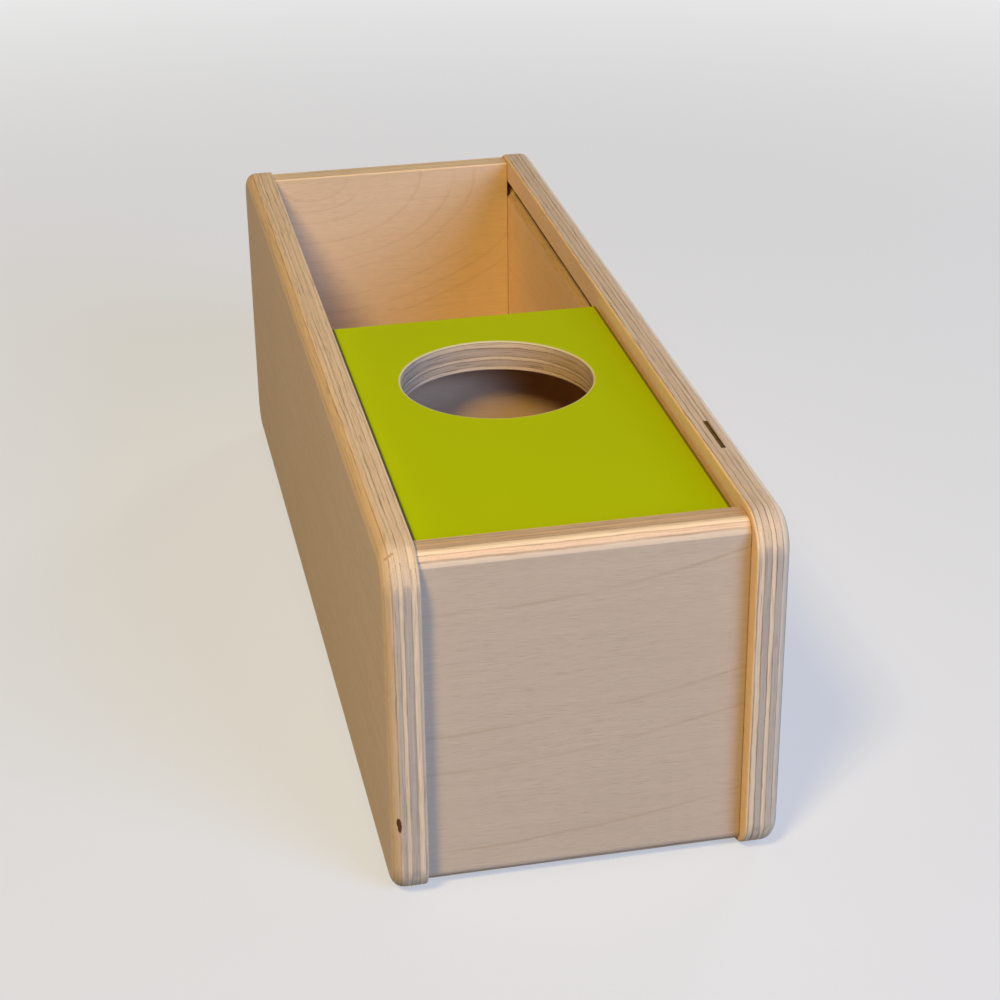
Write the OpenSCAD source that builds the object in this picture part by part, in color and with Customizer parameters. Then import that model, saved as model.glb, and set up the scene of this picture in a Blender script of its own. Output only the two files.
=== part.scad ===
// Object permanence box: a plywood box in two compartments, with a sliding lid that has a ball hole.
// The origin is at the middle of the bottom. The front is at -Y, and the lid slides towards +Y.

/* [Box] */
// Length of the side boards
side_l = 300; // [260:1:360]
// Height of the side boards
side_h = 96; // [84:1:120]
// Clear width between the side boards
inner_w = 81.5; // [70:0.5:110]
// Thickness of the sides, ends and divider
board_t = 9; // [9:0.5:14]
// Radius of the side boards' four corners, seen from the side
corner_r = 10; // [6:0.5:12]
// Radius of the rounded outer edges
edge_r = 3.5; // [2:0.5:4]
// Radius of the back end's outer edges
back_edge_r = 2.5; // [1:0.5:4]
// Radius of the eased inner edges
inner_ease = 0.5; // [0.3:0.1:1.5]

/* [Ends] */
// How far the ends stand back from the ends of the sides
end_setback = 4.5; // [2:0.5:10]
// How far the front end's top lies below the tops of the sides
front_drop = 2; // [1:0.1:3]
// How far the back end's top lies below the tops of the sides
back_drop = 1.4; // [1:0.1:3]
// How far the ends' bottoms lie above the bottoms of the sides
end_lift = 1.5; // [1:0.5:3.5]

/* [Floor] */
// Thickness of the floor board
floor_t = 6; // [4:0.5:9]
// Height of the floor's underside
floor_z = 7; // [6.5:0.5:12]
// Depth of the grooves that hold the floor
floor_groove_d = 4; // [2:0.5:5]

/* [Divider] */
// Gap between the divider's top and the lid
divider_gap = 0.6; // [0.3:0.1:3]

/* [Lid] */
// Thickness of the lid board
lid_t = 8.5; // [7:0.5:11]
// Thickness of the lid's facing
facing_t = 0.5; // [0.4:0.1:1.2]
// How far the facing lies below the tops of the sides
lid_sink = 4.5; // [4:0.5:12]
// Thickness of the tongues along the lid's long edges
tongue_t = 5.5; // [4:0.5:6.5]
// Depth of the grooves that the tongues run in
groove_d = 4; // [3:0.5:5]
// How far those grooves run on behind the faces of the ends
groove_run = 4; // [1:0.5:4.5]
// Running gap above and below each tongue
run_gap = 0.25; // [0.15:0.05:0.5]
// Gap between the lid's edges and the boards beside them
edge_gap = 1; // [0.3:0.1:1.2]
// Diameter of the ball hole
hole_d = 53.4; // [40:0.2:60]
// Radius of the hole's eased rims
hole_ease = 0.5; // [0.3:0.1:1.5]
// Middle of the hole, from the lid's rear edge
hole_y = 46.3; // [36:0.1:70]

/* [Dowels] */
// Diameter of the dowels
dowel_d = 6; // [4:0.5:6.5]
// Length of the dowels
dowel_l = 20; // [14:0.5:24]
// How deep the dowels' holes go into the sides
dowel_side = 7.5; // [4:0.5:8]
// Free depth at each end of a dowel's hole
dowel_spare = 0.5; // [0.2:0.1:1]
// Gap round a dowel, filled with glue
glue_gap = 0.1; // [0.05:0.05:0.2]
// Height kept between a dowel's middle and the floor, or the lid's grooves
dowel_margin = 11; // [7:0.5:16]

/* [Hidden] */
$fn = 96;

birch = [0.80, 0.69, 0.54];
birch_pale = [0.86, 0.76, 0.62];
beech = [0.72, 0.56, 0.40];
lime = [0.66, 0.68, 0.03];

// Margin that carries a cut past the face that it opens
over = 1;

// Along the box
side_y0 = -side_l / 2;
end_y0 = side_y0 + end_setback;
inner_y0 = end_y0 + board_t;
inner_l = -2 * inner_y0;

// Up the box
floor_top = floor_z + floor_t;
facing_top = side_h - lid_sink;
lid_top = facing_top - facing_t;
lid_z = lid_top - lid_t;
groove_z = lid_z - run_gap;
groove_h = tongue_t + 2 * run_gap;

// The lid covers one compartment and the divider
compartment_l = (inner_l - board_t) / 2;
lid_y0 = inner_y0 + edge_gap;
lid_l = compartment_l + board_t;
lid_w = inner_w - 2 * edge_gap;
tongue_w = inner_w + 2 * (groove_d - edge_gap);
hole_at = lid_y0 + lid_l - hole_y;

front_h = side_h - front_drop - end_lift;
back_h = side_h - back_drop - end_lift;
divider_h = lid_z - divider_gap - floor_top;
dowel_end = dowel_l + 2 * dowel_spare - dowel_side;
end_dowel_y = -end_y0 - board_t / 2;
end_dowel_z = dowel_heights(3);
divider_dowel_z = dowel_heights(2);

// Heights of a joint's dowels, spread evenly between the floor and the lid's grooves
function dowel_heights(count) =
    let (low = floor_top + dowel_margin, high = groove_z - dowel_margin)
    [for (i = [0:count - 1]) low + i * (high - low) / (count - 1)];

// Flat outline of a board with round corners, from the origin
module round_outline(w, h, r) {
    translate([r, 0]) square([w - 2 * r, h]);
    translate([0, r]) square([w, h - 2 * r]);
    for (x = [r, w - r], y = [r, h - r])
        translate([x, y]) circle(r = r);
}

// Board with round corners, lying flat from the origin, with its lower and upper rims rounded
module eased_board(l, h, t, corner, lower, upper) {
    translate([0, 0, lower]) linear_extrude(t - lower - upper) round_outline(l, h, corner);
    for (rim = [[lower, lower, 0], [upper, t - upper, t / 2]]) {
        r = rim[0];
        z = rim[1];
        translate([r, r, rim[2]])
            linear_extrude(t / 2) round_outline(l - 2 * r, h - 2 * r, corner - r);
        for (y = [r, h - r])
            translate([corner, y, z]) rotate([0, 90, 0]) cylinder(h = l - 2 * corner, r = r);
        for (x = [r, l - r])
            translate([x, corner, z]) rotate([-90, 0, 0]) cylinder(h = h - 2 * corner, r = r);
        for (turn = [[l - corner, h - corner, 0], [corner, h - corner, 90],
                     [corner, corner, 180], [l - corner, corner, 270]])
            translate([turn[0], turn[1], z]) rotate([0, 0, turn[2]])
                rotate_extrude(angle = 90) translate([corner - r, 0]) circle(r = r);
    }
}

// Section of an end board: its outer edges, at the left here, are rounded and its inner ones eased
module end_outline(h, r) {
    translate([r, 0]) square([board_t - r - inner_ease, h]);
    translate([0, r]) square([board_t / 2, h - 2 * r]);
    translate([board_t / 2, inner_ease]) square([board_t / 2, h - 2 * inner_ease]);
    for (y = [r, h - r])
        translate([r, y]) circle(r = r);
    for (y = [inner_ease, h - inner_ease])
        translate([board_t - inner_ease, y]) circle(r = inner_ease);
}

// Dowels, or their holes when grown, in the joints of one board with the two sides
module dowel_row(y, heights, grow_r, grow_l) {
    for (side = [-1, 1], z = heights)
        translate([side * (inner_w / 2 + (dowel_side - dowel_end) / 2), y, z])
            rotate([0, 90, 0])
                cylinder(h = dowel_l + grow_l, d = dowel_d + 2 * grow_r, center = true);
}

module dowel_holes(y, heights) {
    dowel_row(y, heights, glue_gap, 2 * dowel_spare);
}

module all_dowel_holes() {
    for (y = [-end_dowel_y, end_dowel_y])
        dowel_holes(y, end_dowel_z);
    dowel_holes(0, divider_dowel_z);
}

// The floor board, or with a gap the space that its grooves are cut to
module floor_space(gap) {
    reach = floor_groove_d - glue_gap + gap;
    translate([-inner_w / 2 - reach, inner_y0 - reach, floor_z - gap])
        cube([inner_w + 2 * reach, inner_l + 2 * reach, floor_t + 2 * gap]);
}

// Slot in a side board's inner face, with the round ends that a cutter leaves
module lid_groove() {
    middle_z = groove_z + groove_h / 2;
    far = inner_l / 2 + groove_run - groove_h / 2;
    translate([inner_w / 2 - over, 0, middle_z]) rotate([0, 90, 0]) {
        translate([-groove_h / 2, -far, 0]) cube([groove_h, 2 * far, groove_d + over]);
        for (y = [-far, far])
            translate([0, y, 0]) cylinder(h = groove_d + over, d = groove_h);
    }
}

module right_side() {
    color(birch) difference() {
        translate([inner_w / 2, side_y0, 0]) rotate([90, 0, 90])
            eased_board(side_l, side_h, board_t, corner_r, inner_ease, edge_r);
        lid_groove();
        floor_space(glue_gap);
        all_dowel_holes();
    }
}

module left_side() {
    mirror([1, 0, 0]) right_side();
}

// End board between the sides, as it stands at the front, with a groove for the floor
module end_board(h, r) {
    color(birch) difference() {
        translate([-inner_w / 2, end_y0, end_lift]) rotate([90, 0, 90])
            linear_extrude(inner_w) end_outline(h, r);
        floor_space(glue_gap);
        dowel_holes(-end_dowel_y, end_dowel_z);
    }
}

module front_end() {
    end_board(front_h, edge_r);
}

module back_end() {
    mirror([0, 1, 0]) end_board(back_h, back_edge_r);
}

module divider() {
    color(birch) difference() {
        translate([-inner_w / 2, -board_t / 2, floor_top]) cube([inner_w, board_t, divider_h]);
        dowel_holes(0, divider_dowel_z);
    }
}

module floor_board() {
    color(birch_pale) floor_space(0);
}

// Ball hole with both rims eased, through a lid whose facing is on top
module ball_hole() {
    translate([0, hole_at, lid_z]) {
        translate([0, 0, -over]) cylinder(h = facing_top - lid_z + 2 * over, d = hole_d);
        for (rim = [[0, 0], [facing_top - lid_z, 1]])
            translate([0, 0, rim[0]]) mirror([0, 0, rim[1]]) rotate_extrude() difference() {
                translate([0, -over]) square([hole_d / 2 + hole_ease, hole_ease + over]);
                translate([hole_d / 2 + hole_ease, hole_ease]) circle(r = hole_ease);
            }
    }
}

module lid_board() {
    color(birch) difference() {
        union() {
            translate([-tongue_w / 2, lid_y0, lid_z]) cube([tongue_w, lid_l, tongue_t]);
            translate([-lid_w / 2, lid_y0, lid_z]) cube([lid_w, lid_l, lid_t]);
        }
        ball_hole();
    }
}

module lid_facing() {
    color(lime) difference() {
        translate([-lid_w / 2, lid_y0, lid_top]) cube([lid_w, lid_l, facing_t]);
        ball_hole();
    }
}

module front_dowels() {
    color(beech) dowel_row(-end_dowel_y, end_dowel_z, 0, 0);
}

module back_dowels() {
    color(beech) dowel_row(end_dowel_y, end_dowel_z, 0, 0);
}

module divider_dowels() {
    color(beech) dowel_row(0, divider_dowel_z, 0, 0);
}

left_side();
right_side();
front_end();
back_end();
divider();
floor_board();
lid_board();
lid_facing();
front_dowels();
back_dowels();
divider_dowels();
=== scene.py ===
# %% [markdown]
# This lesson dresses an object permanence box: a long plywood box in two compartments, with a green
# sliding lid that has a ball hole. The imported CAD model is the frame, and it gives every board its place
# and size. Roundings, grooves and the hole repeat its sizes. Blender works in metres here, but the sizes
# below are in millimetres, as a joiner would write them.

# %% Load the frame
from collections import namedtuple
from math import pi, radians

import bmesh
import bpy
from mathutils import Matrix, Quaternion, Vector


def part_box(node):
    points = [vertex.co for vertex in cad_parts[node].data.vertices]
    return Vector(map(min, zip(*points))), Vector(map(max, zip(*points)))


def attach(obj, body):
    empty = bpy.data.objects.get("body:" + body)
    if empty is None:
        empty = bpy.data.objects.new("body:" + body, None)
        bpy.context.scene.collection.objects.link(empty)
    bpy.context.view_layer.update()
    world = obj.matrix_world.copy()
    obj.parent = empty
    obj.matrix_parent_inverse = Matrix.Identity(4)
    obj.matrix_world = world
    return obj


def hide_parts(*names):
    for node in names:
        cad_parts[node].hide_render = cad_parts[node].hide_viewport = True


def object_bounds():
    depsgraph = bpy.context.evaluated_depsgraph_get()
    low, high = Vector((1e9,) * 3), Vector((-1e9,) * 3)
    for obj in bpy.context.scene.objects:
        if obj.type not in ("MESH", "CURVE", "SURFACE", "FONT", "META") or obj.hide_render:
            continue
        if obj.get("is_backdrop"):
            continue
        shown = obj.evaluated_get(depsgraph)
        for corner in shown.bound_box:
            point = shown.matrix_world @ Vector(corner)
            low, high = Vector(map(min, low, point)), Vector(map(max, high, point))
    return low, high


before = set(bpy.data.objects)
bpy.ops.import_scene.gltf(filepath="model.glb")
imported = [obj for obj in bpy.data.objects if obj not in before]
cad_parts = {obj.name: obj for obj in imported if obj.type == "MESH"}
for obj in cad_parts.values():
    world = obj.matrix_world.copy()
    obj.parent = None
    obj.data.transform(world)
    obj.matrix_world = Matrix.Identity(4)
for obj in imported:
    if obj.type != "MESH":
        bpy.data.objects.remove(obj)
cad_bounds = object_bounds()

MM = 0.001
X, Y, Z = 0, 1, 2
print("CAD nodes:", ", ".join(sorted(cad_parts)))

# %% [markdown]
# The camera stands where the photograph was taken from: in front of the box, a little to its left and
# above it. Such a place can be found by hand, but the box's own straight edges give it more closely. The
# small roll is there because a hand-held camera is seldom level.

# %% Camera
EYE = Vector((-115.1, -606.8, 340.2)) * MM
AIM = Vector((2.8, -29.4, 48.0)) * MM
ROLL = radians(-0.71)
SENSOR_WIDTH, FOCAL_LENGTH = 36.0, 81.64

lens = bpy.data.cameras.new("camera")
lens.sensor_width, lens.lens = SENSOR_WIDTH, FOCAL_LENGTH
camera = bpy.data.objects.new("camera", lens)
camera.location = EYE
look = (AIM - EYE).to_track_quat("-Z", "Y") @ Quaternion((0, 0, 1), ROLL)
camera.rotation_euler = look.to_euler()
bpy.context.scene.collection.objects.link(camera)
bpy.context.scene.camera = camera
bpy.context.scene.view_settings.view_transform = "Standard"
print("camera", round((AIM - EYE).length / MM), "mm from what it looks at")

# %% [markdown]
# A finish is a small formula: a colour that depends on where in the board a point lies. Nodes can be
# wired one by one, but formulas are easier to read. This class wraps a socket, so that plus, minus and
# times add the Math nodes by themselves, and every other kind of node comes from its one method `node`.

# %% Formulas for finishes
# The sockets of a Mix node for colours: the share, the two colours and the result
SHARE, OFF, ON, RESULT = 0, 6, 7, 2


class Wire:
    """A socket in a finish, with the arithmetic that finishes are written in."""

    def __init__(self, tree, socket=None):
        self.tree, self.socket = tree, socket

    def node(self, kind, inlets=None, outlet=0, stops=(), blend="LINEAR", **settings):
        """Add a node: its settings and a ramp's stops first, then its inlets' values or links."""
        made = self.tree.nodes.new("ShaderNode" + kind)
        for name, value in settings.items():
            setattr(made, name, value)
        if stops:
            ramp = made.color_ramp
            ramp.interpolation = blend
            ramp.elements.remove(ramp.elements[-1])
            ramp.elements[0].position, ramp.elements[0].color = stops[0]
            for position, colour in stops[1:]:
                ramp.elements.new(position).color = colour
        for name, value in (inlets or {}).items():
            if isinstance(value, Wire):
                self.tree.links.new(value.socket, made.inputs[name])
            else:
                made.inputs[name].default_value = value
        return Wire(self.tree, made.outputs[outlet] if made.outputs else None)

    def other_outlet(self, name):
        """Another outlet of the node that this wire comes from."""
        return Wire(self.tree, self.socket.node.outputs[name])

    def math(self, operation, *values):
        return self.node("Math", dict(enumerate(values)), operation=operation)

    def __add__(self, other):
        return self.math("ADD", self, other)

    def __sub__(self, other):
        return self.math("SUBTRACT", self, other)

    def __rsub__(self, other):
        return self.math("SUBTRACT", other, self)

    def __mul__(self, other):
        return self.math("MULTIPLY", self, other)

    def __truediv__(self, other):
        return self.math("DIVIDE", self, other)

    def __abs__(self):
        return self.math("ABSOLUTE", self)

    __radd__, __rmul__ = __add__, __mul__

    def at_least(self, low):
        return self.math("MAXIMUM", self, low)

    def at_most(self, high):
        return self.math("MINIMUM", self, high)

    def fade(self, start, end):
        """0 before start, 1 after end, and a soft step between them."""
        return self.node("MapRange", {"Value": self, "From Min": start, "From Max": end},
                         interpolation_type="SMOOTHSTEP")

    def mix(self, off, on):
        """A colour between two, with this value as the share of the second."""
        return self.node("Mix", {SHARE: self, OFF: off, ON: on}, RESULT, data_type="RGBA")

    def shade(self, colour):
        """A colour made lighter or darker by this value, or tinted by this colour."""
        return self.node("Mix", {SHARE: 1.0, OFF: colour, ON: self}, RESULT,
                         data_type="RGBA", blend_type="MULTIPLY")

    def length(self):
        """The length of this vector."""
        return self.node("VectorMath", {0: self}, "Value", operation="LENGTH")

    def split(self):
        """The three numbers of this vector."""
        return [self.node("SeparateXYZ", {0: self}, axis) for axis in (X, Y, Z)]

    def noise(self, lengths, detail=2.0, start=0.0):
        """Noise about 0 on this place, in lumps of these lengths."""
        stretch = [1 / length for length in lengths]
        place = self.node("VectorMath", {0: self, 1: stretch, 2: (start,) * 3}, operation="MULTIPLY_ADD")
        return self.node("TexNoise", {"Vector": place, "Scale": 1.0, "Detail": detail}) - 0.5


def new_finish(name):
    """An empty material, and a wire that starts its formulas."""
    finish = bpy.data.materials.new(name)
    finish.use_nodes = True
    finish.node_tree.nodes.clear()
    return finish, Wire(finish.node_tree)


def in_millimetres(start):
    """Where a point lies in its piece, and which way its surface faces there."""
    place = start.node("TexCoord", outlet="Object")
    facing = start.node("TexCoord", outlet="Normal")
    return start.node("VectorMath", {0: place, "Scale": 1 / MM}, operation="SCALE"), facing


def coat(start, colour, roughness, height, relief, specular):
    """Close a finish with its shader: relief is the height of the surface's texture, in millimetres."""
    normal = start.node("Bump", {"Height": height, "Distance": relief * MM, "Strength": 1.0})
    shader = start.node("BsdfPrincipled", {
        "Base Color": colour, "Roughness": roughness, "Normal": normal, "Specular IOR Level": specular})
    start.node("OutputMaterial", {"Surface": shader})


print("finishes start from", len(bpy.data.materials), "CAD materials")

# %% [markdown]
# Birch plywood is a stack of thin veneers, each turned a quarter against the next, with glue between
# them. Stripes painted on the edges would show what they are at every rounded corner. So the stack is
# kept in colour ramps over the depth inside the board: one has each veneer's tone and says whether it is
# turned, the other has the glue.

# %% Veneers and glue lines
Layup = namedtuple("Layup", "plies tones glues")
CLEAR, SOLID = (0, 0, 0, 1), (1, 1, 1, 1)
GLUE_REACH = 0.24


def veneer_stops(layup):
    """Ramp stops: each veneer's tone, with alpha 1 in the veneers that are turned."""
    stops, depth = [], 0.0
    for number, (ply, tone) in enumerate(zip(layup.plies, layup.tones)):
        stops.append((depth / sum(layup.plies), (*tone, number % 2)))
        depth += ply
    return stops


def glue_stops(layup):
    """Ramp stops: a narrow peak at each glue line, as high as that line is dark."""
    stops, depth = [(0.0, CLEAR)], 0.0
    for ply, dark in zip(layup.plies, layup.glues):
        depth += ply
        for reach, value in ((-GLUE_REACH, CLEAR), (0.0, (dark, dark, dark, 1)), (GLUE_REACH, CLEAR)):
            stops.append(((depth + reach) / sum(layup.plies), value))
    return stops


print("a glue line and its stain are", 2 * GLUE_REACH, "mm wide")

# %% [markdown]
# Growth lines are the rings of the tree, drawn out long where the knife peels the veneer off. A Wave
# texture makes even rings, but real ones lie at uneven distances. So a ramp over the distance from the
# heart holds one line for each ring, sharp on one side and soft on the other. One slow noise bends the
# lines, another lets parts fade out.

# %% Growth lines
Rings = namedtuple("Rings", "along across stretch heights strength")
RING_MARGIN = 8
RING_SHARP, RING_SOFT = 0.25, 0.9
BEND, BEND_REACH = (60, 40, 30), 5
PATCH, PATCH_LIMITS = (22, 22, 22), (-0.22, 0.12)


def ring_stops(radii, first, last):
    """Ramp stops: a growth line at each radius, sharp on one side and fading out on the other."""
    stops = [(0.0, CLEAR)]
    for radius in sorted(radii):
        for reach, value in ((-RING_SOFT, CLEAR), (0.0, SOLID), (RING_SHARP, CLEAR)):
            stops.append(((radius + reach - first) / (last - first), value))
    return stops


def growth_lines(place, along, across, rings, seed):
    """How strongly growth lines show. Along and across place the rings' heart, heights their lines."""
    radii = [abs(height - rings.across) for height in rings.heights]
    first, last = min(radii) - RING_MARGIN, max(radii) + RING_MARGIN
    from_heart = place.node("CombineXYZ", {
        0: (along - rings.along) / rings.stretch, 1: across - rings.across, 2: 0.0})
    radius = from_heart.length() + place.noise(BEND, start=seed + 7) * BEND_REACH
    level = (radius - first) / (last - first)
    lines = place.node("ValToRGB", {0: level}, stops=ring_stops(radii, first, last))
    return lines * place.noise(PATCH, detail=1.0, start=seed + 3).fade(*PATCH_LIMITS) * rings.strength


print("a growth line is", RING_SHARP + RING_SOFT, "mm wide")

# %% [markdown]
# Up close, wood is hairs, short dark pores and long streaks, all along the grain of their own veneer. The
# cut edges have stripes along the veneers and small cracks, and their glue lines break off here and
# there. Image textures could hold all that, but noise that is stretched along the grain needs no
# unwrapping and follows every rounding. These noises start at different numbers, so that no two line up.

# %% Fibres, cut edges and small marks
HAIR, PORE, STREAK = (3.6, 0.26, 0.26), (4.5, 0.26, 0.26), (60, 1.6, 1.6)
PORE_LIMITS = (0.06, 0.24)
STRIPE, CRACK, BREAK = (32, 1, 0.5), (10, 1, 0.24), (16, 1, 0.8)
CRACK_LIMITS = (0.08, 0.2)
BREAK_SWING, BREAK_MIDDLE = 2.4, 0.75
END_FACE = (0.4, 0.6)
MARK_LIMITS, MARK_FRAY = (0.75, 1.05), 0.8


def fibres(along, across, depth, turned, seed):
    """Hairs, pores and streaks, along the grain of the veneer at that depth."""
    run = along + turned * (across - along)
    grain = along.node("CombineXYZ", {0: run, 1: along + across - run, 2: depth})
    hairs = grain.noise(HAIR, start=seed)
    pores = grain.noise(PORE, detail=0.0, start=seed + 5).fade(*PORE_LIMITS)
    streaks = grain.noise(STREAK, start=seed + 9)
    return hairs, pores, streaks


def edge_lines(along, across, depth, face_along, seed):
    """Stripes and cracks of the cut edges, and how much of a glue line is left there."""
    run = along + face_along.fade(*END_FACE) * (across - along)
    line = along.node("CombineXYZ", {0: run, 1: 0.0, 2: depth})
    stripes = line.noise(STRIPE, start=seed + 13)
    cracks = line.noise(CRACK, detail=1.0, start=seed + 17).fade(*CRACK_LIMITS)
    unbroken = line.noise(BREAK, start=seed + 21) * BREAK_SWING + BREAK_MIDDLE
    return stripes, cracks, unbroken.at_least(0.0)


def with_marks(wood, place, hairs, marks):
    """Wood with small marks. Each mark has a middle, a reach in each direction and a colour."""
    for middle, reach, colour in marks:
        shift = place.node("VectorMath", {0: place, 1: middle}, operation="SUBTRACT")
        shift = place.node("VectorMath", {0: shift, 1: reach}, operation="DIVIDE")
        outside = (shift.length() + hairs * MARK_FRAY).fade(*MARK_LIMITS)
        wood = (1 - outside).mix(wood, colour)
    return wood


print("hairs are", HAIR[0], "mm long, and streaks", STREAK[0], "mm")

# %% [markdown]
# The finish puts these together. Where the surface cuts across the fibres it shows grey end grain, and
# where it runs along them it shows light wood. Each kind of edge could have a material of its own, but
# then a line would part them. The way the surface faces tells face, rounding and cut edge apart, so one
# formula does them all. The square of the facing through the board is 1 on its faces and 0 on its edges.

# %% Plywood
LONG_GRAIN = (0.74, 0.565, 0.37, 1)
END_GRAIN = (0.556, 0.462, 0.35, 1)
GLUE = (0.27, 0.14, 0.065, 1)
LATE_WOOD = (0.56, 0.36, 0.19, 1)
WAVE, WAVE_REACH, NICK, CLOUD = (24, 24, 24), 0.6, (4, 4, 4), (55, 55, 55)
EDGE_LIMITS, CUT_LIMITS, LONG_EDGE = (0.35, 0.8), (0.8, 0.985), (0.4, 0.9)
ROUNDING_FROM, ROUNDING_TO, HIGHLIGHT_UP_LIMITS = (0.0, 0.15), (0.988, 0.999), (-0.1, 0.1)
JOINT_FROM, JOINT_TO, JOINT_DARK = 0.35, 0.12, 0.8
HAIR_TONE, PORE_TONE, STREAK_TONE, CLOUD_TONE = 0.18, 0.06, 0.10, 0.08
ROUGH, END_ROUGH, HAIR_ROUGH = 0.55, 0.12, 0.15
PORE_DEPTH, WOOD_RELIEF, WOOD_GLOSS = 0.5, 0.03, 0.004
NO_SEAM = 1000.0


def plywood(name, axes, near, layup, rings, seed, top=(1, 1, 1), pale=0.06, seam=NO_SEAM,
            wear=(0.42, 0.26), grey=(1.0, 0.4), grain=(0.88, 0.96), marks=()):
    """Birch plywood. Axes run along the face grain, across it and through the board from its face at near.
    Top tints the long edges, and seam is where its neighbours meet it. Pale lightens the sanded roundings,
    but only those that face up, so it is partly a painted highlight.
    Wear is how strong stripes and cracks are, grey how grey end grain is, and grain where it sets in."""
    finish, start = new_finish(name)
    place, facing = in_millimetres(start)
    spots, normals = place.split(), facing.split()
    along, across, through = (spots[axis] for axis in axes)
    face_along, face_across, face_through = (normals[axis] * normals[axis] for axis in axes)

    waves = place.noise(WAVE, detail=3.0, start=seed) * WAVE_REACH
    nicks = place.noise(NICK, detail=3.0, start=seed + 1) * wear[1]
    depth = through - near + (waves + nicks)
    level = depth / sum(layup.plies)
    veneer = start.node("ValToRGB", {0: level}, stops=veneer_stops(layup), blend="CONSTANT")
    turned = veneer.other_outlet("Alpha")
    glue = start.node("ValToRGB", {0: level}, stops=glue_stops(layup))
    hairs, pores, streaks = fibres(along, across, depth, turned, seed)
    stripes, cracks, unbroken = edge_lines(along, across, depth, face_along, seed)
    clouds = place.noise(CLOUD, start=seed)

    upright = (1 - turned) * face_along.fade(*grain) * grey[0]
    end = upright + turned * face_across.fade(*grain) * grey[1]
    edge = 1 - face_through.fade(*EDGE_LIMITS)
    cut = 1 - face_through.fade(*CUT_LIMITS)
    rounding = (1 - face_through.fade(*ROUNDING_TO)) * face_through.fade(*ROUNDING_FROM)
    # Painted highlight: the lighter sanded tone is kept to roundings that face up
    highlight_up = normals[axes[1]].fade(*HIGHLIGHT_UP_LIMITS)
    joint = abs(along).fade(seam - JOINT_FROM, seam - JOINT_TO)
    late = growth_lines(place, along, across, rings, seed) * (1 - edge)

    wood = end.mix(LONG_GRAIN, END_GRAIN)
    wood = late.mix(wood, LATE_WOOD)
    wood = (glue * cut * unbroken).mix(wood, GLUE)
    wood = veneer.shade(wood)
    wood = face_across.fade(*LONG_EDGE).mix(SOLID, (*top, 1)).shade(wood)
    wood = (joint * JOINT_DARK).mix(wood, GLUE)
    # Edge wear, and the painted highlight on upward roundings
    wear_and_highlight = edge * (stripes * wear[0] - cracks * wear[1]) + rounding * highlight_up * pale
    tone = 1 + hairs * HAIR_TONE - pores * PORE_TONE + streaks * STREAK_TONE + clouds * CLOUD_TONE + wear_and_highlight
    wood = with_marks(tone.shade(wood), place, hairs, marks)

    roughness = ROUGH + end * END_ROUGH + hairs * HAIR_ROUGH
    coat(start, wood, roughness, hairs - pores * PORE_DEPTH - glue * cut, WOOD_RELIEF, WOOD_GLOSS)
    return finish


print("long grain", LONG_GRAIN[:3], "and end grain", END_GRAIN[:3])

# %% [markdown]
# Veneers differ in tone: light and handling tint the faces, and the cores are cream, dusky or brown. One
# tone for a whole board would make its edges look printed, so each layer has one of a few tones, as a
# factor on the wood's colour. The divider and the floor hardly show their edges, so one tone does there.
# A layup lists the layers' thicknesses, their tones, and how dark each glue line is.

# %% Layers of the boards
PLAIN = (1.0, 1.0, 1.0)
OUTER = (0.94, 0.94, 0.94)
INNER = (1.21, 1.13, 1.02)
BACK_FACE = (1.05, 1.02, 0.94)
FRONT_FACE = (0.82, 0.84, 0.88)
WARM = (0.92, 0.89, 0.85)
CREAM = (1.09, 1.11, 1.09)
DUSKY = (0.95, 0.95, 0.96)
BROWN = (0.88, 0.81, 0.74)
LIGHT = (1.03, 1.0, 0.96)
ROSE = (0.93, 0.87, 0.85)
DULL = (0.79, 0.75, 0.72)
UMBER = (0.97, 0.90, 0.87)
BARE = (0.85, 0.78, 0.70)
# Painted shade for the lid's groove: its upward ledge is darkened to match the wall, and deeper in a dark
# brown is painted shadow
GROOVE_SHADE = (0.90, 0.81, 0.69)
GROOVE_SHADOW = (0.34, 0.26, 0.18)

SIDE = Layup((0.4, 1.8, 1.45, 1.1, 1.95, 1.45, 0.85),
             (OUTER, WARM, PLAIN, CREAM, DUSKY, CREAM, PLAIN),
             (0.35, 0.7, 0.6, 0.7, 0.6, 0.5))
SIDE_TURNED = Layup((0.6, 1.4, 1.75, 1.2, 1.65, 1.95, 0.45),
                    (INNER, CREAM, DUSKY, CREAM, PLAIN, CREAM, PLAIN),
                    (1.0, 0.9, 0.8, 0.9, 0.8, 0.9))
FRONT = Layup((0.5, 1.1, 2.1, 1.4, 1.4, 1.5, 1.0),
              (FRONT_FACE, ROSE, CREAM, BROWN, BROWN, BROWN, BROWN),
              (0.7, 0.7, 0.6, 0.4, 0.3, 0.4))
BACK = Layup((1.0, 1.5, 1.4, 1.4, 2.1, 1.1, 0.5),
             (BACK_FACE, CREAM, CREAM, CREAM, CREAM, PLAIN, PLAIN),
             (0.4, 0.3, 0.4, 0.6, 0.7, 0.7))
MIDDLE = SIDE._replace(tones=(UMBER,) * len(SIDE.plies))
LID = Layup((1.4, 1.9, 1.1, 2.6, 1.5), (LIGHT, DULL, LIGHT, DULL, LIGHT), (0.9, 0.9, 1.0, 0.9))
# The groove: a darkened ledge, then painted shadow deeper in
GROOVE = Layup((3.3, 5.7), (GROOVE_SHADE, GROOVE_SHADOW), ())
FLOOR = Layup((0.9, 1.4, 1.4, 1.4, 0.9), (BARE,) * 5, (0.8, 0.4, 0.4, 0.8))
print("a side has", len(SIDE.plies), "veneers in", round(sum(SIDE.plies), 2), "mm")

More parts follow.
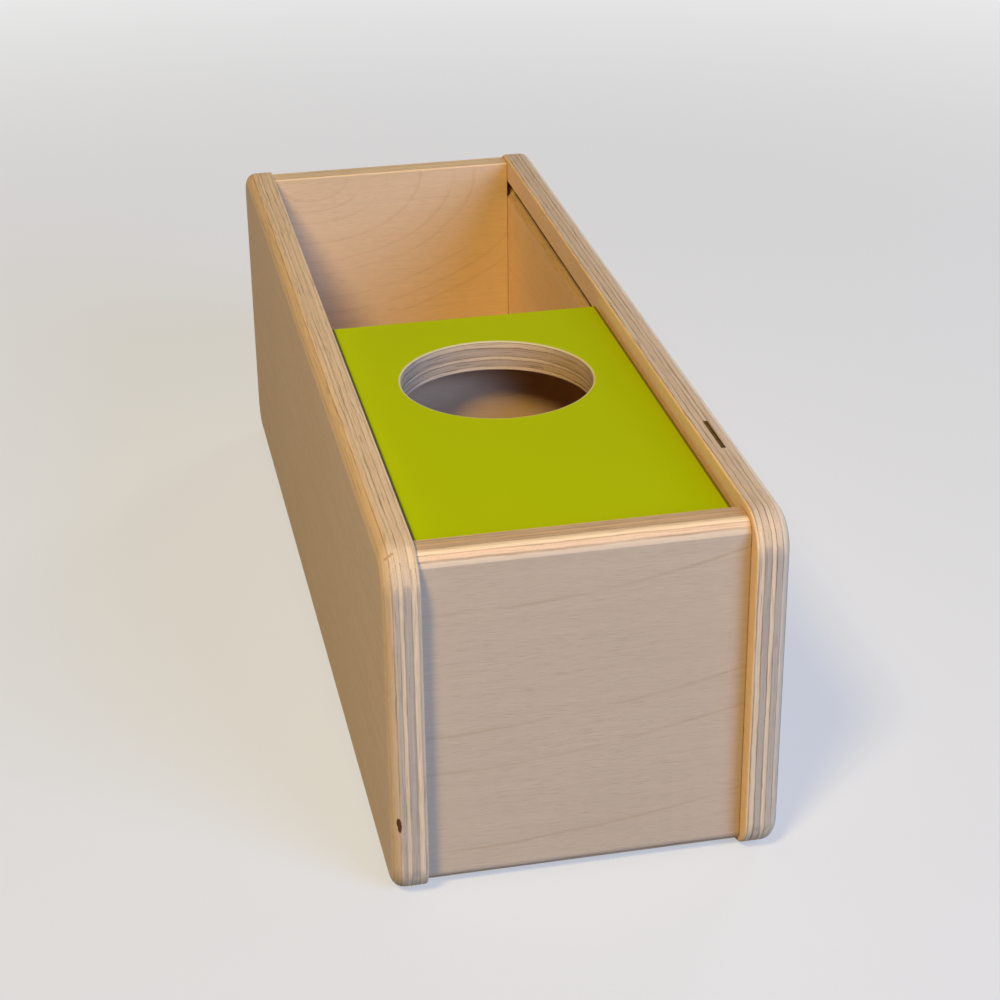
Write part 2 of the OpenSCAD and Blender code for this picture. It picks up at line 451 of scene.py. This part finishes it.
# %% [markdown]
# Each board gets its own plywood, because no two boards are cut from the same place: its noise starts
# elsewhere. The front's growth lines rise slowly to the right, the back's curl round a point at its upper
# left, and those of both sides run almost straight. The left board has a small dark knot and a fine split.
# They could be modelled, but they lie level with the wood, so they are marks in its finish.

# %% Wood for each board
def corners(node):
    """A CAD node's lowest and highest corners, in millimetres."""
    return [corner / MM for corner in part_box(node)]


left_low, left_high = corners("left_side")
right_low, right_high = corners("right_side")
front_low, front_high = corners("front_end")
back_low, back_high = corners("back_end")
divider_low, divider_high = corners("divider")
floor_low, floor_high = corners("floor_board")
lid_low, lid_high = corners("lid_board")
facing_low, facing_high = corners("lid_facing")

SIDE_AXES, END_AXES, LID_AXES, FLOOR_AXES = (Y, Z, X), (X, Z, Y), (X, Y, Z), (Y, X, Z)
KNOT_DARK = (0.115, 0.050, 0.024, 1)
KNOT = (((-47.95, -149.0, 23.6), (0.6, 6.0, 1.5)), ((-47.75, -149.0, 22.5), (0.5, 6.0, 1.9)))
SPLIT_DARK = (0.50, 0.34, 0.19, 1)
SPLIT_FROM, SPLIT_TO = Vector((-48.27, -144.82, 94.03)), Vector((-46.60, -144.30, 95.01))
SPLIT_STEPS, SPLIT_REACH = 3, (0.5, 0.5, 0.24)
left_marks = [(middle, reach, KNOT_DARK) for middle, reach in KNOT]
left_marks += [(SPLIT_FROM.lerp(SPLIT_TO, step / SPLIT_STEPS), SPLIT_REACH, SPLIT_DARK)
               for step in range(SPLIT_STEPS + 1)]

side_rings = Rings(along=-600, across=-220, stretch=6, heights=(14, 31, 52, 70, 83), strength=0.26)
front_rings = Rings(along=-38, across=380, stretch=1, heights=(77, 44, 34, 10.5), strength=0.42)
back_rings = Rings(along=-28, across=94, stretch=1.6,
                   heights=(86, 82, 77.5, 70, 63, 58.5, 50, 44.5, 40), strength=0.29)
divider_rings = Rings(along=120, across=300, stretch=1, heights=(70, 52, 33, 20), strength=0.2)
floor_rings = Rings(along=-400, across=500, stretch=2, heights=(-30, -12, 6, 25), strength=0.3)
lid_rings = Rings(along=-300, across=400, stretch=1, heights=(-110, -84, -50, -12), strength=0.3)

left_wood = plywood("birch_left", SIDE_AXES, left_low.x, SIDE, side_rings, seed=1.3,
                    top=(1.04, 1.04, 1.04), marks=left_marks)
right_wood = plywood("birch_right", SIDE_AXES, right_low.x, SIDE_TURNED, side_rings, seed=5.1,
                     top=(0.92, 0.96, 1.08))
front_wood = plywood("birch_front", END_AXES, front_low.y, FRONT, front_rings, seed=9.7,
                     pale=0.30, seam=front_high.x)
back_wood = plywood("birch_back", END_AXES, back_low.y, BACK, back_rings, seed=14.9,
                    pale=0.16, seam=back_high.x)
divider_wood = plywood("birch_divider", END_AXES, divider_low.y, MIDDLE, divider_rings, seed=21.4)
floor_wood = plywood("birch_floor", FLOOR_AXES, floor_low.z, FLOOR, floor_rings, seed=27.2)
lid_wood = plywood("birch_lid", LID_AXES, lid_low.z, LID, lid_rings, seed=33.8,
                   wear=(0.5, 0.5), grey=(0.8, 0.3), grain=(0.3, 0.8))
groove_wood = plywood("birch_groove", SIDE_AXES, right_low.x, GROOVE, side_rings, seed=5.1)
print("woods:", len([m for m in bpy.data.materials if m.name.startswith("birch_")]))

# %% [markdown]
# A slot in the right board's top edge is a gap in a core veneer. It is shallow, so its dark brown is
# painted shade that stands for the dark deep inside such a gap, and it has a plain finish of its own. The
# pegs inside the joints are beech, which has short dark flecks instead of lines. They are hidden, so a
# light formula is
# enough: soft fibres along each peg, and flecks where a noise passes a limit.

# %% Dark gap, and beech for the pegs
# The slot's colour is painted shade: a dark brown for the shade inside the gap
SLOT_SHADE, SLOT_SHADE_GRAIN, SLOT_SHADE_TONE, SLOT_ROUGH = (0.17, 0.12, 0.065, 1), (1.5, 0.6, 0.6), 1.2, 0.9
BEECH, BEECH_ROUGH = (0.58, 0.37, 0.22, 1), 0.6
FIBRE, FIBRE_TONE, FIBRE_ROUGH = (9, 0.5, 0.5), 0.3, 0.1
FLECK, FLECK_SIZE, FLECK_LIMITS = (0.36, 0.19, 0.10, 1), (1.6, 0.35, 0.35), (0.12, 0.2)


def dark_gap(name):
    finish, start = new_finish(name)
    place, _ = in_millimetres(start)
    # Painted shade, broken up by a fine noise
    slot_shade = place.noise(SLOT_SHADE_GRAIN, start=3.0)
    coat(start, (1 + slot_shade * SLOT_SHADE_TONE).shade(SLOT_SHADE), SLOT_ROUGH, slot_shade, relief=0.05, specular=0.0)
    return finish


def beech(name):
    finish, start = new_finish(name)
    place, _ = in_millimetres(start)
    fibre = place.noise(FIBRE, start=2.0)
    fleck = place.noise(FLECK_SIZE, detail=1.0, start=8.0).fade(*FLECK_LIMITS)
    wood = (1 + fibre * FIBRE_TONE).shade(fleck.mix(BEECH, FLECK))
    coat(start, wood, BEECH_ROUGH + fibre * FIBRE_ROUGH, fibre, relief=0.05, specular=0.3)
    return finish


gap_dark = dark_gap("veneer_gap")
peg_wood = beech("beech_pegs")
print("gap and pegs:", gap_dark.name, peg_wood.name)

# %% [markdown]
# The lid's facing is a thin sheet with a green film on a pale core. The film ends where the edge is
# sanded, and that is why a fine pale line shows round the hole. Film and core could be two pieces, but
# the film is thinner than paper, so the height inside the sheet tells them apart. A dark brown strip along
# the long edges is painted shade, for the shadowed gaps beside the sides and the sides' shadow on the lid.
# A fine grain keeps the film from looking like wet paint.

# %% Green film
FILM = (0.466, 0.575, 0.001, 1)
CORE = (0.70, 0.62, 0.34, 1)
# Painted shade: a dark strip along the lid's long edges stands for the shadowed gaps beside the sides
LID_EDGE_SHADE = (0.20, 0.17, 0.03, 1)
FILM_DEPTH, FILM_BACK, FILM_BLUR = 0.08, 0.05, 0.1
GLUE_FROM, GLUE_TO = 0.08, 0.16
EDGE_SHADE_FROM, EDGE_SHADE_TO = 0.95, 0.75
FILM_CLOUD, FILM_GRAIN = (48, 48, 48), (0.5, 0.5, 0.5)
FILM_CLOUD_TONE, FILM_GRAIN_TONE = 0.06, 0.05
FILM_ROUGH, FILM_GRAIN_ROUGH = 0.5, 0.1
FILM_RELIEF, FILM_GLOSS = 0.012, 0.01
HOLE_R, HOLE_EASE, HOLE_FROM_REAR = 26.7, 0.5, 46.3


def green_film(name, low, high, hole):
    """The sheet between two corners, with its film on top up to the edge of the hole."""
    finish, start = new_finish(name)
    place, _ = in_millimetres(start)
    sideways, _, height = place.split()
    reach = start.node("VectorMath", {0: place, 1: hole}, "Value", operation="DISTANCE")
    rim = HOLE_R + HOLE_EASE + FILM_BACK
    film = height.fade(high.z - 2 * FILM_DEPTH, high.z - FILM_DEPTH)
    film = film * reach.fade(rim - FILM_BLUR, rim + FILM_BLUR)
    core = height.fade(low.z + GLUE_FROM, low.z + GLUE_TO).mix(GLUE, CORE)
    # The painted shade strip along both long edges of the sheet
    edge_shade = abs(sideways).fade(high.x - EDGE_SHADE_FROM, high.x - EDGE_SHADE_TO)
    cloud = place.noise(FILM_CLOUD, start=4.0)
    grain = place.noise(FILM_GRAIN, start=6.0)
    tone = 1 + cloud * FILM_CLOUD_TONE + grain * FILM_GRAIN_TONE
    colour = tone.shade(edge_shade.mix(film.mix(core, FILM), LID_EDGE_SHADE))
    coat(start, colour, FILM_ROUGH + grain * FILM_GRAIN_ROUGH, grain, FILM_RELIEF, FILM_GLOSS)
    return finish


hole_middle = Vector((0, facing_high.y - HOLE_FROM_REAR, facing_high.z))
lime_film = green_film("lime_film", facing_low, facing_high, hole_middle)
print("film at", facing_high.z, "mm")

# %% [markdown]
# Boards are made as a joiner makes them: cut a blank, round its edges over, then cut the grooves. A box
# can be scaled to a blank, bmesh.ops.bevel is the router that rounds an edge, and a groove is a part of a
# face that is marked out with bisect_plane and pushed in. A Weighted Normal modifier keeps the flat faces
# flat in the light.

# %% Tools of the workshop
TINY = 1e-6
SHARP = radians(40)


def blank(low, high):
    """A box between two corners, which are in millimetres like every size here."""
    bm = bmesh.new()
    bmesh.ops.create_cube(bm, size=1.0)
    bmesh.ops.scale(bm, vec=(high - low) * MM, verts=bm.verts)
    bmesh.ops.translate(bm, vec=(low + high) / 2 * MM, verts=bm.verts)
    return bm


def lies_at(item, axis, level):
    """True if the whole edge or face lies at that level."""
    return all(abs(v.co[axis] - level * MM) < TINY for v in item.verts)


def runs_along(edge, axis):
    """True if the edge is parallel to that axis."""
    way = edge.verts[1].co - edge.verts[0].co
    return abs(abs(way[axis]) - way.length) < TINY


def round_over(bm, edges, radius, steps):
    """Round edges to that radius."""
    bmesh.ops.bevel(bm, geom=edges, offset=radius * MM, offset_type="OFFSET", affect="EDGES",
                    segments=steps, profile=0.5, material=-1, clamp_overlap=True)


def with_edges(faces):
    """Faces together with their edges and corners, as bisect_plane and extrude want them."""
    edges = dict.fromkeys(edge for face in faces for edge in face.edges)
    points = dict.fromkeys(point for face in faces for point in face.verts)
    return [*faces, *edges, *points]


def mark_out(bm, faces, axis, level):
    """Cut a line into those faces, at that level."""
    across = Vector((0, 0, 0))
    across[axis] = 1
    bmesh.ops.bisect_plane(bm, geom=with_edges(faces), dist=TINY,
                           plane_co=across * level * MM, plane_no=across)


def draw_out(bm, faces, axis, reach, keep=False):
    """Extrude those faces along an axis and return the new points. With keep, the old faces stay."""
    drawn = bmesh.ops.extrude_face_region(bm, geom=with_edges(faces), use_keep_orig=keep)["geom"]
    points = [item for item in drawn if isinstance(item, bmesh.types.BMVert)]
    way = Vector((0, 0, 0))
    way[axis] = reach * MM
    bmesh.ops.translate(bm, vec=way, verts=points)
    return points


def sink(bm, axis, level, limits, push):
    """Push in a part of the flat face at that level. Limits are the part's two ends on other axes."""
    for other, ends in limits.items():
        for end in ends:
            mark_out(bm, [face for face in bm.faces if lies_at(face, axis, level)], other, end)
    middle = [face for face in bm.faces if lies_at(face, axis, level) and all(
        ends[0] * MM < face.calc_center_median()[other] < ends[1] * MM for other, ends in limits.items())]
    pushed = draw_out(bm, middle, axis, push)
    return [face for face in bm.faces if any(point in pushed for point in face.verts)]


def finish_piece(bm, name, body, node, slot, *finishes):
    """Turn a bmesh into a piece that rides on a body and stands for a CAD node."""
    bmesh.ops.recalc_face_normals(bm, faces=bm.faces)
    open_edges = sum(not edge.is_manifold for edge in bm.edges)
    mesh = bpy.data.meshes.new(name)
    bm.to_mesh(mesh)
    bm.free()
    mesh.shade_smooth()
    mesh.set_sharp_from_angle(angle=SHARP)
    for finish in finishes:
        mesh.materials.append(finish)
    piece = bpy.data.objects.new(name, mesh)
    bpy.context.scene.collection.objects.link(piece)
    flatten = piece.modifiers.new("flat_faces", "WEIGHTED_NORMAL")
    flatten.keep_sharp = True
    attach(piece, body)
    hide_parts(node)
    print(name, len(mesh.polygons), "faces,", open_edges, "open edges")


print("edges sharper than", round(SHARP / radians(1)), "degrees stay sharp")

# %% [markdown]
# A side is a board with round corners. Its outer rim is rounded over, and its inner rim is only eased
# with sandpaper. The router leaves two grooves in its inner face: one carries the lid's tongue, one holds
# the floor. The lid's groove ends in two half circles, the width of the cutter. On the right, a gap in a
# core veneer shows as a dark slot in the top edge. Booleans could cut all of these, but pushed-in faces
# stay clean.

# %% Sides
CORNER_R, EDGE_R, INNER_EASE = 10.0, 3.5, 0.5
CORNER_STEPS, EDGE_STEPS, EASE_STEPS, GROOVE_STEPS = 14, 9, 3, 8
GROOVE_Z, GROOVE_Y, GROOVE_IN = (82.25, 88.25), 140.5, 4.0
FLOOR_GROOVE_Z, FLOOR_GROOVE_Y = (6.9, 13.1), 140.5
GAP_X, GAP_Y, GAP_IN = (44.2, 45.45), (-108.0, -91.0), 0.8
# A bevel as wide as its face would leave doubled points, so it stays this much smaller
SPARE = 0.02
GROOVE_FINISH, GAP_FINISH = 1, 2


def side_board(low, high, outward):
    """One side, with its grooves cut outwards from the inner face."""
    bm = blank(low, high)
    round_over(bm, [edge for edge in bm.edges if runs_along(edge, X)], CORNER_R, CORNER_STEPS)
    inner, outer = (low.x, high.x) if outward > 0 else (high.x, low.x)
    for level, radius, steps in ((outer, EDGE_R, EDGE_STEPS), (inner, INNER_EASE, EASE_STEPS)):
        round_over(bm, [edge for edge in bm.edges if lies_at(edge, X, level)], radius, steps)
    for face in sink(bm, X, inner, {Z: GROOVE_Z, Y: (-GROOVE_Y, GROOVE_Y)}, outward * GROOVE_IN):
        face.material_index = GROOVE_FINISH
    ends = [edge for edge in bm.edges
            if runs_along(edge, X) and edge.calc_length() > GROOVE_IN / 2 * MM
            and abs(abs(edge.verts[0].co.y) - GROOVE_Y * MM) < TINY]
    round_over(bm, ends, (GROOVE_Z[1] - GROOVE_Z[0]) / 2 - SPARE, GROOVE_STEPS)
    sink(bm, X, inner, {Z: FLOOR_GROOVE_Z, Y: (-FLOOR_GROOVE_Y, FLOOR_GROOVE_Y)}, outward * GROOVE_IN)
    return bm


left = side_board(left_low, left_high, -1)
finish_piece(left, "side_board_left", "box", "left_side", "birch_plywood", left_wood, groove_wood)
right = side_board(right_low, right_high, 1)
for face in sink(right, Z, right_high.z, {X: GAP_X, Y: GAP_Y}, -GAP_IN):
    face.material_index = GAP_FINISH
finish_piece(right, "side_board_right", "box", "right_side", "birch_plywood",
             right_wood, groove_wood, gap_dark)

# %% [markdown]
# An end board is the same section from one side to the other, so it is drawn once as a flat outline and
# extruded across the box. A bevelled block would do too, but here the outline holds everything: two round
# corners outside, two eased ones inside and a notch for the floor. The upright ends get a hair of a
# bevel, because a fine dark line shows where two sanded boards meet.

# %% End boards
JOINT_EASE, JOINT_STEPS = 0.25, 2
BACK_EDGE_R = 2.5


def end_board(low, high, outward, edge_r):
    """An end board: a notched outline extruded across the box."""
    bm = bmesh.new()
    bmesh.ops.create_grid(bm, x_segments=1, y_segments=1, size=0.5)
    bmesh.ops.scale(bm, vec=((high.y - low.y) * MM, (high.z - low.z) * MM, 1), verts=bm.verts)
    for side, radius, steps in ((outward, edge_r, EDGE_STEPS), (-outward, INNER_EASE, EASE_STEPS)):
        points = [v for v in bm.verts if v.co.x * side > 0]
        bmesh.ops.bevel(bm, geom=points, offset=radius * MM, offset_type="OFFSET", affect="VERTICES",
                        segments=steps, profile=0.5, material=-1)
    turn = Quaternion((0, 0, 1), pi / 2) @ Quaternion((1, 0, 0), pi / 2)
    bmesh.ops.rotate(bm, matrix=turn.to_matrix(), verts=bm.verts)
    place = Vector((low.x, (low.y + high.y) / 2, (low.z + high.z) / 2))
    bmesh.ops.translate(bm, vec=place * MM, verts=bm.verts)

    inner = low.y if outward > 0 else high.y
    notch = inner + outward * GROOVE_IN
    for axis, level in ((Z, FLOOR_GROOVE_Z[0]), (Z, FLOOR_GROOVE_Z[1]), (Y, notch)):
        mark_out(bm, bm.faces[:], axis, level)
    middles = {face: face.calc_center_median() / MM for face in bm.faces}
    waste = [face for face, middle in middles.items()
             if FLOOR_GROOVE_Z[0] < middle.z < FLOOR_GROOVE_Z[1] and (middle.y - notch) * outward < 0]
    bmesh.ops.delete(bm, geom=waste, context="FACES")
    bmesh.ops.dissolve_faces(bm, faces=bm.faces[:], use_verts=True)
    draw_out(bm, bm.faces[:], X, high.x - low.x, keep=True)
    joints = [edge for edge in bm.edges if lies_at(edge, X, low.x) or lies_at(edge, X, high.x)]
    round_over(bm, joints, JOINT_EASE, JOINT_STEPS)
    return bm


front = end_board(front_low, front_high, -1, EDGE_R)
finish_piece(front, "end_board_front", "box", "front_end", "birch_plywood", front_wood)
back = end_board(back_low, back_high, 1, BACK_EDGE_R)
finish_piece(back, "end_board_back", "box", "back_end", "birch_plywood", back_wood)

# %% [markdown]
# The divider stands on the floor and parts the box in two. It is what shows through the ball hole. A
# plain sawn board is enough, with its edges broken by a stroke of sandpaper, so a fine bevel on every
# edge does it.

# %% Divider
BROKEN_EDGE = 0.4
wall = blank(divider_low, divider_high)
round_over(wall, wall.edges[:], BROKEN_EDGE, EASE_STEPS)
finish_piece(wall, "divider_board", "box", "divider", "birch_plywood", divider_wood)

# %% [markdown]
# The lid is a plate with a round hole. A boolean would cut it, but it leaves long slivers. Here a circle
# and a rectangle with as many points are bridged to a flat ring, and the ring is extruded to a plate. The
# board's long edges are then drawn out into the tongues that run in the grooves. The facing is a second,
# thin plate.

# %% Lid
TONGUE_TOP = 88.0
HOLE_POINTS = 96
LOWER_RIM_STEPS, UPPER_RIM_STEPS = 4, 5
FACING_EASE = 0.2


def holed_plate(low, high):
    """A flat plate with the ball hole through it."""
    bm = bmesh.new()
    middle = (low + high) / 2 * MM
    bmesh.ops.create_grid(bm, x_segments=1, y_segments=1, size=0.5)
    bmesh.ops.scale(bm, vec=((high.x - low.x) * MM, (high.y - low.y) * MM, 1), verts=bm.verts)
    bmesh.ops.translate(bm, vec=(middle.x, middle.y, low.z * MM), verts=bm.verts)
    bmesh.ops.delete(bm, geom=bm.faces[:], context="FACES_ONLY")
    bmesh.ops.subdivide_edges(bm, edges=bm.edges[:], cuts=HOLE_POINTS // 4 - 1)
    rim = bmesh.ops.create_circle(bm, cap_ends=False, radius=HOLE_R * MM, segments=HOLE_POINTS)["verts"]
    bmesh.ops.translate(bm, vec=(middle.x, (high.y - HOLE_FROM_REAR) * MM, low.z * MM), verts=rim)
    bmesh.ops.bridge_loops(bm, edges=bm.edges[:])
    draw_out(bm, bm.faces[:], Z, high.z - low.z, keep=True)
    return bm


def rim_edges(bm, level):
    """The edges of the ball hole's rim at that height."""
    return [edge for edge in bm.edges if lies_at(edge, Z, level) and all(
        abs((v.co.xy - hole_middle.xy * MM).length - HOLE_R * MM) < TINY * 10 for v in edge.verts)]


plate_low, plate_high = Vector((facing_low.x, *lid_low.yz)), Vector((facing_high.x, *lid_high.yz))
plate = holed_plate(plate_low, plate_high)
mark_out(plate, plate.faces[:], Z, TONGUE_TOP)
for edge_x, tongue_x in ((plate_low.x, lid_low.x), (plate_high.x, lid_high.x)):
    strip = [face for face in plate.faces
             if lies_at(face, X, edge_x) and face.calc_center_median().z < TONGUE_TOP * MM]
    draw_out(plate, strip, X, tongue_x - edge_x)
round_over(plate, rim_edges(plate, lid_low.z), HOLE_EASE, LOWER_RIM_STEPS)
finish_piece(plate, "lid_plate", "lid", "lid_board", "birch_plywood", lid_wood)

sheet = holed_plate(facing_low, facing_high)
round_over(sheet, rim_edges(sheet, facing_high.z), HOLE_EASE - SPARE, UPPER_RIM_STEPS)
borders = ((X, facing_low.x), (X, facing_high.x), (Y, facing_low.y), (Y, facing_high.y))
sheet_edges = [edge for edge in sheet.edges if lies_at(edge, Z, facing_high.z)
               and any(lies_at(edge, axis, level) for axis, level in borders)]
round_over(sheet, sheet_edges, FACING_EASE, EASE_STEPS)
finish_piece(sheet, "lid_green_sheet", "lid", "lid_facing", "green_laminate", lime_film)

# %% [markdown]
# The floor and the pegs have the right shape in the CAD model already: a plain board in its grooves, and
# round pegs inside the joints. New pieces could replace them, but they would look the same, so they stay
# as they are and only get their woods.

# %% Floor and pegs
for node, finish in (("floor_board", floor_wood), ("front_dowels", peg_wood),
                     ("back_dowels", peg_wood), ("divider_dowels", peg_wood)):
    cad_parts[node].data.materials.clear()
    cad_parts[node].data.materials.append(finish)
    print(node, "keeps its CAD shape, in", finish.name)

# %% [markdown]
# The floor of the studio is pale and plain. For light that bounces it is darker, so that it doesn't throw
# white light up at the box. What the camera and reflections see is partly the floor's own glow and partly
# the lamps' light on it, and this second part keeps the shadow. Away from the box the glow takes over, so
# that the floor runs into the backdrop without a line. A curved backdrop could do that too, but not for a
# view from every side.

# %% Studio floor and backdrop
FLOOR_SIZE = 6.0
FLOOR_TINT = (0.68, 0.73, 0.82, 1)
BOUNCE = (0.30, 0.33, 0.38, 1)
PALE = (0.90, 0.90, 0.90, 1)
GLOW = 0.5
LIT_NEAR, LIT_FAR = 350, 1100
SKY, SKY_STRENGTH = (0.8, 0.9, 1.0, 1), 0.01


def seen_directly(start):
    """1 for what the camera, a reflection or a clear piece shows, else 0."""
    rays = [start.node("LightPath", outlet=name) for name in
            ("Is Camera Ray", "Is Glossy Ray", "Is Transmission Ray")]
    return (rays[0] + rays[1] + rays[2]).at_most(1.0)


ground = bmesh.new()
bmesh.ops.create_grid(ground, x_segments=1, y_segments=1, size=FLOOR_SIZE / 2)
ground_mesh = bpy.data.meshes.new("studio_floor")
ground.to_mesh(ground_mesh)
ground.free()
studio_floor = bpy.data.objects.new("studio_floor", ground_mesh)
bpy.context.scene.collection.objects.link(studio_floor)
studio_floor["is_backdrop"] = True

floor_finish, start = new_finish("studio_floor")
place, _ = in_millimetres(start)
away = place.length().fade(LIT_NEAR, LIT_FAR)
lit = start.node("BsdfDiffuse", {"Color": FLOOR_TINT})
glow = start.node("Emission", {"Color": PALE, "Strength": 1.0})
shown = start.node("MixShader", {0: GLOW + away * (1 - GLOW), 1: lit, 2: glow})
dull = start.node("BsdfDiffuse", {"Color": BOUNCE})
surface = start.node("MixShader", {0: seen_directly(start), 1: dull, 2: shown})
start.node("OutputMaterial", {"Surface": surface})
ground_mesh.materials.append(floor_finish)

world = bpy.data.worlds.new("studio")
bpy.context.scene.world = world
world.use_nodes = True
world.node_tree.nodes.clear()
start = Wire(world.node_tree)
dim = start.node("Background", {"Color": SKY, "Strength": SKY_STRENGTH})
pale = start.node("Background", {"Color": PALE, "Strength": 1.0})
backdrop = start.node("MixShader", {0: seen_directly(start), 1: dim, 2: pale})
start.node("OutputWorld", {"Surface": backdrop})
print("studio floor", FLOOR_SIZE, "m wide")

# %% [markdown]
# Four lamps light the box. A warm one stands high at the left and front, small enough to draw the lid's
# and the walls' shadows. A large cool one at the right fills the front, and a plain one behind lights the
# sides that the camera doesn't see. A weak cool one, low at the left, keeps the left side from turning
# yellow in the warm light. Powers could be set by eye, but an area lamp's power for a wanted brightness
# grows with the square of its distance, so they are worked out from that.

# %% Lamps
def lamp(name, way, distance, size, colour, brightness):
    """An area lamp that shines at the box from that way, with its distance and size in metres."""
    light = bpy.data.lights.new(name, "AREA")
    light.shape, light.size = "DISK", size
    light.color = colour
    light.energy = brightness * pi ** 2 * distance ** 2
    holder = bpy.data.objects.new(name, light)
    way = Vector(way).normalized()
    holder.location = AIM + way * distance
    holder.rotation_euler = (-way).to_track_quat("-Z", "Y").to_euler()
    holder.visible_camera = False
    bpy.context.scene.collection.objects.link(holder)
    print(name, round(light.energy, 1), "W")


lamp("key_lamp", way=(-0.385, -0.508, 0.770), distance=2.1, size=0.48,
     colour=(1.0, 0.73, 0.31), brightness=0.77)
lamp("fill_lamp", way=(0.48, -0.77, 0.42), distance=2.0, size=1.3,
     colour=(0.38, 0.55, 1.0), brightness=0.91)
lamp("back_lamp", way=(0.62, 0.77, 0.15), distance=2.5, size=0.8,
     colour=(1.0, 0.95, 0.9), brightness=0.42)
lamp("side_lamp", way=(-1.0, 0.15, 0.12), distance=2.0, size=0.6,
     colour=(0.5, 0.62, 1.0), brightness=0.12)

# %% [markdown]
# Last, the box must not have grown: the difference between the size of the dressed model and the size of
# the CAD model is printed. A ruler tool could measure it in Blender's window, but a printed number shows
# it after every run.

# %% Sizes and the end
scene_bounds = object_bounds()
growth = [max(abs(a - b) for a, b in zip(*pair)) / MM for pair in zip(cad_bounds, scene_bounds)]
print("grown by", [round(reach, 3) for reach in growth], "mm")
